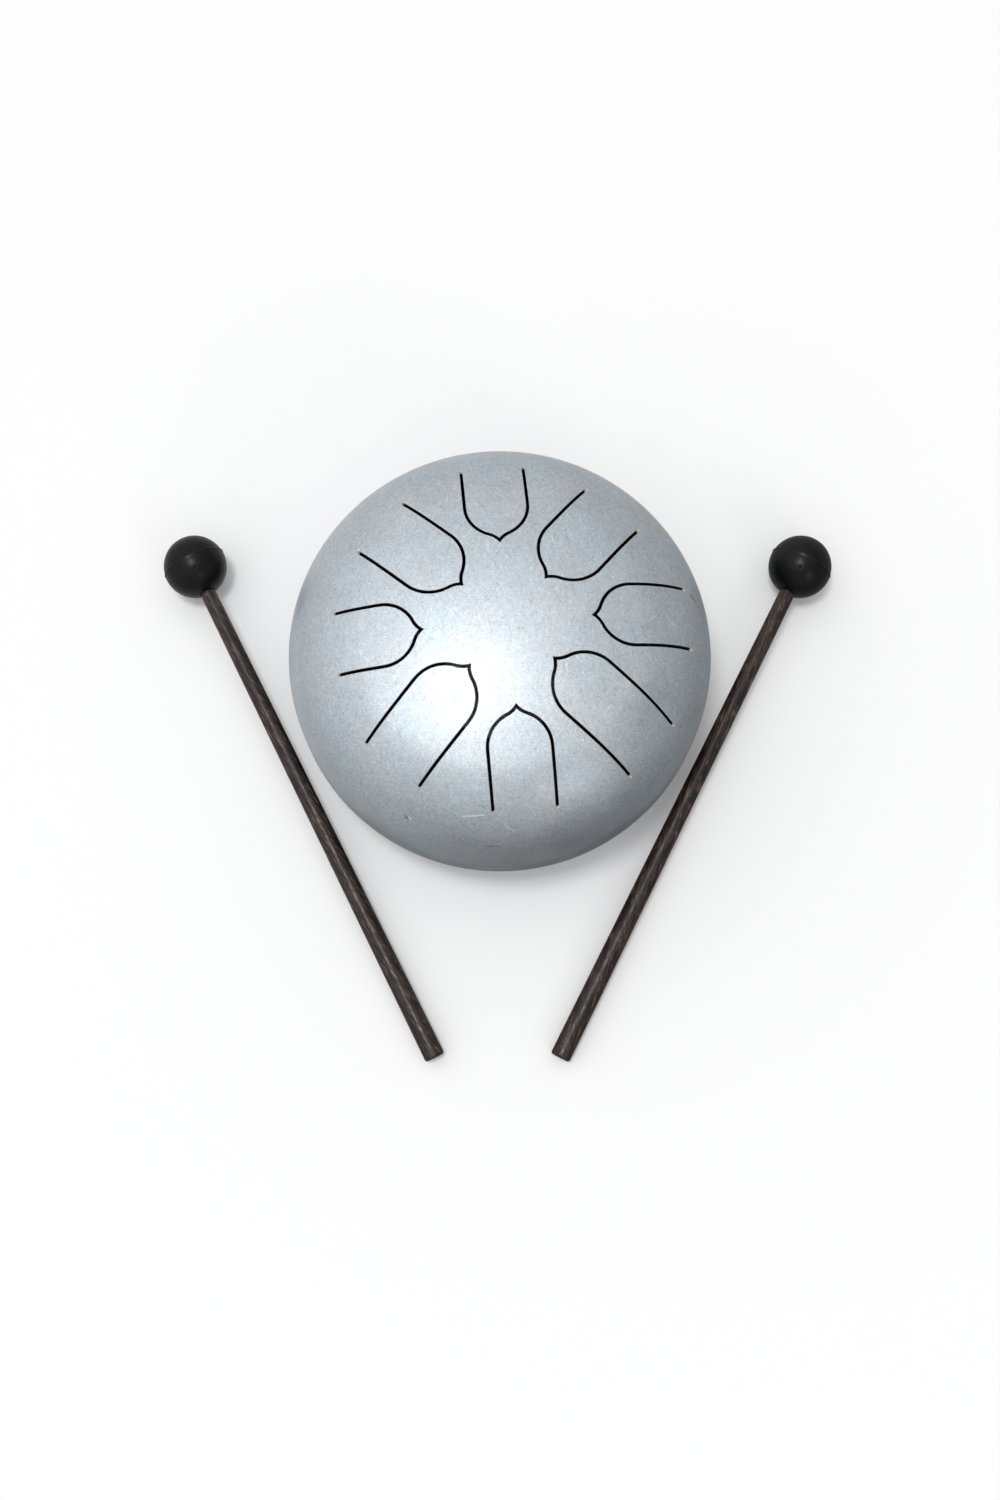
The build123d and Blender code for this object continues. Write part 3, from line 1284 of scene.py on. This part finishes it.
@dataclass
class RimWeld:
    """The ground weld between the two shells, with the last of its ripples."""

    radius: float
    level: float
    depth: float = 0.0009
    crown: float = 0.00004
    ripple: float = 0.00002
    ripple_lean: float = 40.0
    ripple_count: int = 150
    steps_a_ripple: int = 6
    crown_steps: int = 8

    def build(self, finish: Material) -> Object:
        """Model the weld.

        Args:
            finish: The weld's material.

        Returns:
            The weld.
        """
        bulge = [
            (self.radius + self.crown * (1 - share**2), self.level + self.depth * share)
            for share in spread(-1, 1, self.crown_steps)
        ]
        section = [*bulge, (self.radius - self.depth, self.level)]
        weld = MeshBench.turned("rim_weld_bead", section, self.ripple_count * self.steps_a_ripple)
        for vertex in weld.data.vertices:
            reach = vertex.co.xy.length
            share = max(0.0, (reach - self.radius) / self.crown)
            angle = math.atan2(vertex.co.y, vertex.co.x)
            lag = self.ripple_lean * (vertex.co.z - self.level) / self.radius
            sink = self.ripple * share * (1 + math.cos(self.ripple_count * (angle + lag))) / 2
            vertex.co.xy *= 1 - sink / reach
        weld.data.materials.append(finish)
        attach(weld, "drum")
        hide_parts("rim_weld")
        return weld


@dataclass
class PushFoot:
    """A rubber foot: a round pad, a neck through the sheet and a barb above it."""

    base_level: float
    sheet: float
    pad_radius: float = 0.007
    bottom_round: float = 0.001
    top_round: float = 0.0004
    neck_radius: float = 0.0025
    barb_radius: float = 0.004
    barb_tip_radius: float = 0.0022
    barb_height: float = 0.003
    dish_radius: float = 0.0035
    dish_depth: float = 0.0004
    turn_steps: int = 64
    round_steps: int = 6

    def build(self, places: Sequence[Point], finish: Material) -> list[Object]:
        """Model one foot and copy it to each place.

        Args:
            places: Where the feet stand.
            finish: The feet's material.

        Returns:
            The feet.
        """
        barb = self.base_level + self.sheet
        low, high = self.bottom_round, self.base_level - self.top_round
        section = [
            (0.0, self.dish_depth),
            *[
                (self.dish_radius * share, self.dish_depth * (1 + math.cos(math.pi * share)) / 2)
                for share in spread(0, 1, self.round_steps)
            ],
            *arc((self.pad_radius - low, low), low, -90, 0, self.round_steps),
            *arc((self.pad_radius - self.top_round, high), self.top_round, 0, 90, self.round_steps),
            (self.neck_radius, self.base_level),
            (self.neck_radius, barb),
            (self.barb_radius, barb),
            (self.barb_tip_radius, barb + self.barb_height),
            (0.0, barb + self.barb_height),
        ]
        pattern = MeshBench.turned("foot_pattern", section, self.turn_steps)
        pattern.data.materials.append(finish)
        feet = []
        for index, (x, y) in enumerate(places):
            foot = MeshBench.copied(pattern, f"foot_{index + 1}_pad")
            MeshBench.keep_rest_place(foot, Vector((index, 0, 0)))
            MeshBench.placed(foot, Matrix.Translation((x, y, 0)))
            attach(foot, "drum")
            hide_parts(f"foot_{index + 1}")
            feet.append(foot)
        bpy.data.objects.remove(pattern)
        return feet


@dataclass
class MalletPair:
    """The two beaters: moulded rubber balls on tapered wooden sticks."""

    drum_radius: float
    head_radius: float = 0.012
    lip_height: float = 0.00033
    lip_offset: float = 0.0015
    lip_fade: float = 0.0013
    mould_step: float = 0.00012
    entry_round: float = 0.0005
    entry_ease: float = 0.3
    pit_reach: float = 0.0039
    pit_radius: float = 0.00034
    pit_depth: float = 0.00042
    pit_patch: float = 4.0
    pit_cuts: int = 4
    stick_reach: float = 0.2075
    stick_tip_radius: float = 0.003
    stick_butt_radius: float = 0.0038
    butt_bevel: float = 0.0006
    butt_ease: float = 0.0005
    butt_steps: int = 4
    tenon_share: float = 0.7
    glue_gap: float = 0.00005
    unevenness: float = 0.00004
    uneven_pitch: Place = (90.0, 90.0, 30.0)
    gap: float = 0.0038
    setback: float = 0.0916
    splay: float = 26.7
    pair_shift: float = -0.0008
    cad_lip_height: float = 0.00035
    head_steps: int = 128
    ball_steps: int = 90
    stick_steps: int = 48
    taper_steps: int = 80

    @property
    def tenon_end(self) -> float:
        """Give how far along the stick its tenon starts, measured from the head's centre."""
        return self.head_radius * (1 - 2 * self.tenon_share)

    def build(self, rubber: Material, wood: Material) -> list[Object]:
        """Model one mallet and copy it to both sides.

        Args:
            rubber: The heads' material.
            wood: The sticks' material.

        Returns:
            The heads and sticks.
        """
        head_pattern = self.head(rubber)
        stick_pattern = self.stick(wood)
        pieces = []
        for index, side in enumerate(Side):
            word = side.name.lower()
            for pattern, part, kind, slot in (
                (head_pattern, "head", "ball", "head_rubber"),
                (stick_pattern, "stick", "shaft", "stick_wood"),
            ):
                piece = MeshBench.copied(pattern, f"mallet_{part}_{word}_{kind}")
                MeshBench.keep_rest_place(piece, Vector((0, 0, index)))
                MeshBench.placed(piece, self.place(side))
                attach(piece, f"mallet_{word}")
                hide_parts(f"mallet_{part}_{word}")
                pieces.append(piece)
        for pattern in (head_pattern, stick_pattern):
            bpy.data.objects.remove(pattern)
        return pieces

    def place(self, side: Side) -> Matrix:
        """Give the place of a mallet that lies beside the drum on its head and its butt.

        Args:
            side: Which side of the drum.

        Returns:
            The matrix from the mallet's own frame, with the stick on +Z, to the drum's.
        """
        splay = math.radians(self.splay)
        head_level = self.head_radius + self.cad_lip_height
        slope = math.asin((head_level - self.stick_butt_radius) / self.stick_reach)
        clear = self.drum_radius + self.gap + self.stick_butt_radius
        x = side.value * (clear * math.cos(splay) + self.setback * math.sin(splay))
        y = self.setback * math.cos(splay) - clear * math.sin(splay)
        along = Vector(
            (
                -side.value * math.sin(splay) * math.cos(slope),
                -math.cos(splay) * math.cos(slope),
                -math.sin(slope),
            )
        )
        across = UP.cross(along).normalized()
        turn = Matrix((across, along.cross(across), along)).transposed().to_4x4()
        return Matrix.Translation((x + self.pair_shift, y, head_level)) @ turn

    def head(self, finish: Material) -> Object:
        """Spin the ball with its parting line, its bore and a small pit.

        Args:
            finish: The head's material.

        Returns:
            The head in the mallet's own frame.
        """
        bore = self.stick_tip_radius + self.glue_gap
        section = [(0.0, -self.head_radius)]
        entry = bore + self.entry_round
        for angle in spread(180, 0, self.ball_steps):
            along = self.head_radius * math.cos(math.radians(angle))
            reach = self.head_radius * math.sin(math.radians(angle)) + self.lip(along)
            if reach > entry or along < 0:
                section.append((reach, along))
        mouth = math.sqrt(self.head_radius**2 - entry**2)
        ease = self.entry_round * self.entry_ease
        section += [
            (entry, mouth),
            (bore + ease, mouth - ease),
            (bore, mouth - self.entry_round),
            (bore, self.tenon_end),
            (0.0, self.tenon_end),
        ]
        head = MeshBench.turned("head_pattern", section, self.head_steps)
        head.data.materials.append(finish)
        self.press_pit(head)
        MeshBench.smooth(head)
        return head

    def lip(self, along: float) -> float:
        """Give how far the parting line stands out of the ball.

        Args:
            along: The place along the stick, from the ball's centre.

        Returns:
            The height above the ball, less than zero on the slightly smaller crown.
        """
        seam = -self.lip_offset
        if along < seam:
            return -self.mould_step * min(1.0, (seam - along) / self.mould_step)
        fade = max(0.0, 1 - (along - seam) / self.lip_fade)
        return self.lip_height * fade**2

    def press_pit(self, head: Object) -> None:
        """Press a small moulding pit into the upper side of the ball.

        Args:
            head: The head in the mallet's own frame.
        """
        pit = Vector((0, math.sqrt(self.head_radius**2 - self.pit_reach**2), self.pit_reach))
        bpy.ops.object.mode_set(mode="EDIT")
        bpy.ops.mesh.select_mode(type="FACE")
        bpy.ops.mesh.select_all(action="DESELECT")
        bpy.ops.object.mode_set(mode="OBJECT")
        for face in head.data.polygons:
            face.select = (face.center - pit).length < self.pit_patch * self.pit_radius
        bpy.ops.object.mode_set(mode="EDIT")
        bpy.ops.mesh.subdivide(number_cuts=self.pit_cuts)
        bpy.ops.mesh.select_mode(type="VERT")
        bpy.ops.object.mode_set(mode="OBJECT")
        for vertex in head.data.vertices:
            away = (vertex.co - pit).length / self.pit_radius
            vertex.co -= vertex.co.normalized() * self.pit_depth * math.exp(-(away**2))

    def stick(self, finish: Material) -> Object:
        """Spin the tapered stick with its tenon and its bevelled butt.

        Args:
            finish: The stick's material.

        Returns:
            The stick in the mallet's own frame.
        """
        tip, butt, end = self.stick_tip_radius, self.stick_butt_radius, self.stick_reach
        ease = self.butt_ease
        inset = self.butt_bevel + ease * math.tan(math.pi / 8)
        section = [
            (0.0, self.tenon_end),
            (tip, self.tenon_end),
            *line((tip, self.head_radius), (butt, end - inset), self.taper_steps),
            *arc((butt - ease, end - inset), ease, 0, 45, self.butt_steps),
            *arc((butt - inset, end - ease), ease, 45, 90, self.butt_steps),
            (0.0, end),
        ]
        stick = MeshBench.turned("stick_pattern", section, self.stick_steps)
        for vertex in stick.data.vertices:
            if vertex.co.z > self.head_radius:
                spot = Vector([at * pitch for at, pitch in zip(vertex.co, self.uneven_pitch)])
                vertex.co.xy *= 1 - self.unevenness / butt * (1 + noise.noise(spot))
        stick.data.materials.append(finish)
        return stick


@dataclass(frozen=True)
class SoftLamp:
    """A round lamp that faces the drum."""

    name: str
    heading: Place
    distance: float
    size: float
    power: float

    def build(self) -> None:
        """Hang the lamp."""
        light = bpy.data.lights.new(self.name, "AREA")
        light.shape = "DISK"
        light.size = self.size
        light.energy = self.power
        lamp = bpy.data.objects.new(self.name, light)
        heading = Vector(self.heading).normalized()
        lamp.location = heading * self.distance
        lamp.rotation_euler = heading.to_track_quat("Z", "Y").to_euler()
        bpy.context.scene.collection.objects.link(lamp)


@dataclass
class Studio:
    """A pale floor, a painted reflection under the drum, soft light from above and the left, and
    the camera.
    """

    floor_radius: float = 60.0
    floor_steps: int = 128
    floor_colour: Colour = (0.97, 0.97, 0.972)
    camera_place: Place = (0.0001, -0.1821, 0.6659)
    camera_tilt: float = 13.28
    camera_lens: float = 43.1
    camera_sensor: float = 36.0
    sky_level: float = 0.50
    sky_slope: Place = (-0.32, 0.09, 0.33)
    horizon_level: float = 0.76
    horizon_fade: Span = (0.07, 0.28)
    # Painted reflection: a disc that glows only for reflections, darker to the right and the front,
    # with a painted shadow under the drum.
    painted_reflection_level: float = 0.47
    painted_reflection_slope: Place = (-0.18, 0.22, 0.0)
    painted_reflection_lift: float = 0.0003
    painted_shadow_under_drum: Span = (0.070, 0.100)
    lamps: tuple[SoftLamp, ...] = (
        SoftLamp("key_light", (-0.14, 0.0, 1.0), 4.0, 0.85, 43.0),
        SoftLamp("front_light", (0.46, -0.71, 0.53), 3.0, 1.0, 6.0),
    )

    def build(self) -> None:
        """Set up the floor, the painted reflection disc, the light and the camera."""
        bpy.context.scene.view_settings.view_transform = "Standard"
        self.floor()
        self.reflection_mat()
        self.sky()
        for lamp in self.lamps:
            lamp.build()
        self.camera()

    def disc(self, name: str, level: float, finish: Material) -> Object:
        """Lay a round sheet as wide as the floor.

        Args:
            name: The sheet's name.
            level: Its height above the table.
            finish: Its material.

        Returns:
            The sheet.
        """
        bpy.ops.object.select_all(action="DESELECT")
        bpy.ops.mesh.primitive_circle_add(
            vertices=self.floor_steps,
            radius=self.floor_radius,
            fill_type="NGON",
            location=(0, 0, level),
        )
        disc = bpy.context.object
        disc.name = name
        disc.data.materials.append(finish)
        return disc

    def floor(self) -> None:
        """Lay the floor under the feet."""
        bench = NodeBench.named("pale_floor")
        bench.shade(Base_Color=self.floor_colour, Roughness=1.0, Specular_IOR_Level=0.0)
        floor = self.disc("floor", 0.0, bench.owner)

    def reflection_mat(self) -> None:
        """Lay a grey glowing disc that only reflections see: a painted reflection, with a painted
        shadow under the drum.
        """
        bench = NodeBench.named("reflection_mat")
        heading = bench.vector("NORMALIZE", bench.object_place())
        level = self.slope(bench, heading, self.painted_reflection_slope, self.painted_reflection_level)
        reach = bench.vector("LENGTH", bench.object_place(), output=1)
        # Painted shadow: the glow fades to nothing under the drum.
        strength = bench.product(level, bench.ramp(reach, self.painted_shadow_under_drum))
        glow = bench.add("ShaderNodeEmission", {"Strength": strength})
        bench.feed(bench.tree.nodes["Material Output"].inputs["Surface"], glow.outputs[0])
        painted_disc = self.disc("reflection_mat", self.painted_reflection_lift, bench.owner)
        painted_disc.visible_camera = False
        painted_disc.visible_diffuse = False
        painted_disc.visible_shadow = False
        painted_disc.visible_transmission = False

    @staticmethod
    def slope(bench: NodeBench, heading: NodeSocket, slope: Place, level: float) -> NodeSocket:
        """Give a level that rises by a slope along each axis of the heading."""
        return bench.value("ADD", bench.vector("DOT_PRODUCT", heading, slope, output=1), level)

    def sky(self) -> None:
        """Light everything softly from all sides, more from above and the left."""
        bench = NodeBench(bpy.data.worlds.new("soft_room"), "Background")
        bpy.context.scene.world = bench.owner
        heading = bench.add("ShaderNodeTexCoord").outputs["Generated"]
        height = bench.part(heading, 2)
        above = self.slope(bench, heading, self.sky_slope, self.sky_level)
        above = bench.product(above, bench.ramp(height, self.horizon_fade))
        horizon = bench.ramp(height, self.horizon_fade, (self.horizon_level, 0.0))
        bench.shade(Color=(1.0, 1.0, 1.0), Strength=bench.value("ADD", above, horizon))

    def camera(self) -> None:
        """Set the camera at the photograph's viewing angle."""
        camera = bpy.data.cameras.new("camera")
        camera.lens = self.camera_lens
        camera.sensor_width = self.camera_sensor
        eye = bpy.data.objects.new("camera", camera)
        eye.location = self.camera_place
        eye.rotation_euler = (math.radians(self.camera_tilt), 0, 0)
        bpy.context.scene.collection.objects.link(eye)
        bpy.context.scene.camera = eye


def main() -> None:
    """Build the drum and its mallets round the frame and report each piece."""
    logging.basicConfig(level=logging.INFO, format="%(name)s: %(message)s")
    top_low, top_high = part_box("top_shell")
    bottom_low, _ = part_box("bottom_shell")
    dome = DomeShape(radius=top_high.x, apex_level=top_high.z, weld_level=top_low.z)
    steel, inside = SatinSteel().material(), PAINTED_SHADE_INSIDE.material()
    sheet = [steel, SLOT_WALL.material(), RUN_OUT.material(), inside, BRIGHT_EDGE.material()]
    feet = [middle(f"foot_{index}") for index in (1, 2, 3)]
    bowl = BottomShell(dome, base_level=bottom_low.z)
    pieces = TopShell(dome, TonguePattern(dome.radius)).build(sheet)
    pieces.append(bowl.build(steel, inside, feet))
    pieces.append(RimWeld(dome.radius, dome.weld_level).build(GROUND_WELD.material()))
    pieces += PushFoot(bowl.base_level, bowl.sheet).build(feet, FOOT_RUBBER.material())
    pieces += MalletPair(dome.radius).build(HEAD_RUBBER.material(), DarkWood().material())
    for piece in pieces:
        log.info("%s has %d faces", piece.name, len(piece.data.polygons))
    Studio().build()


if __name__ == "__main__":
    main()
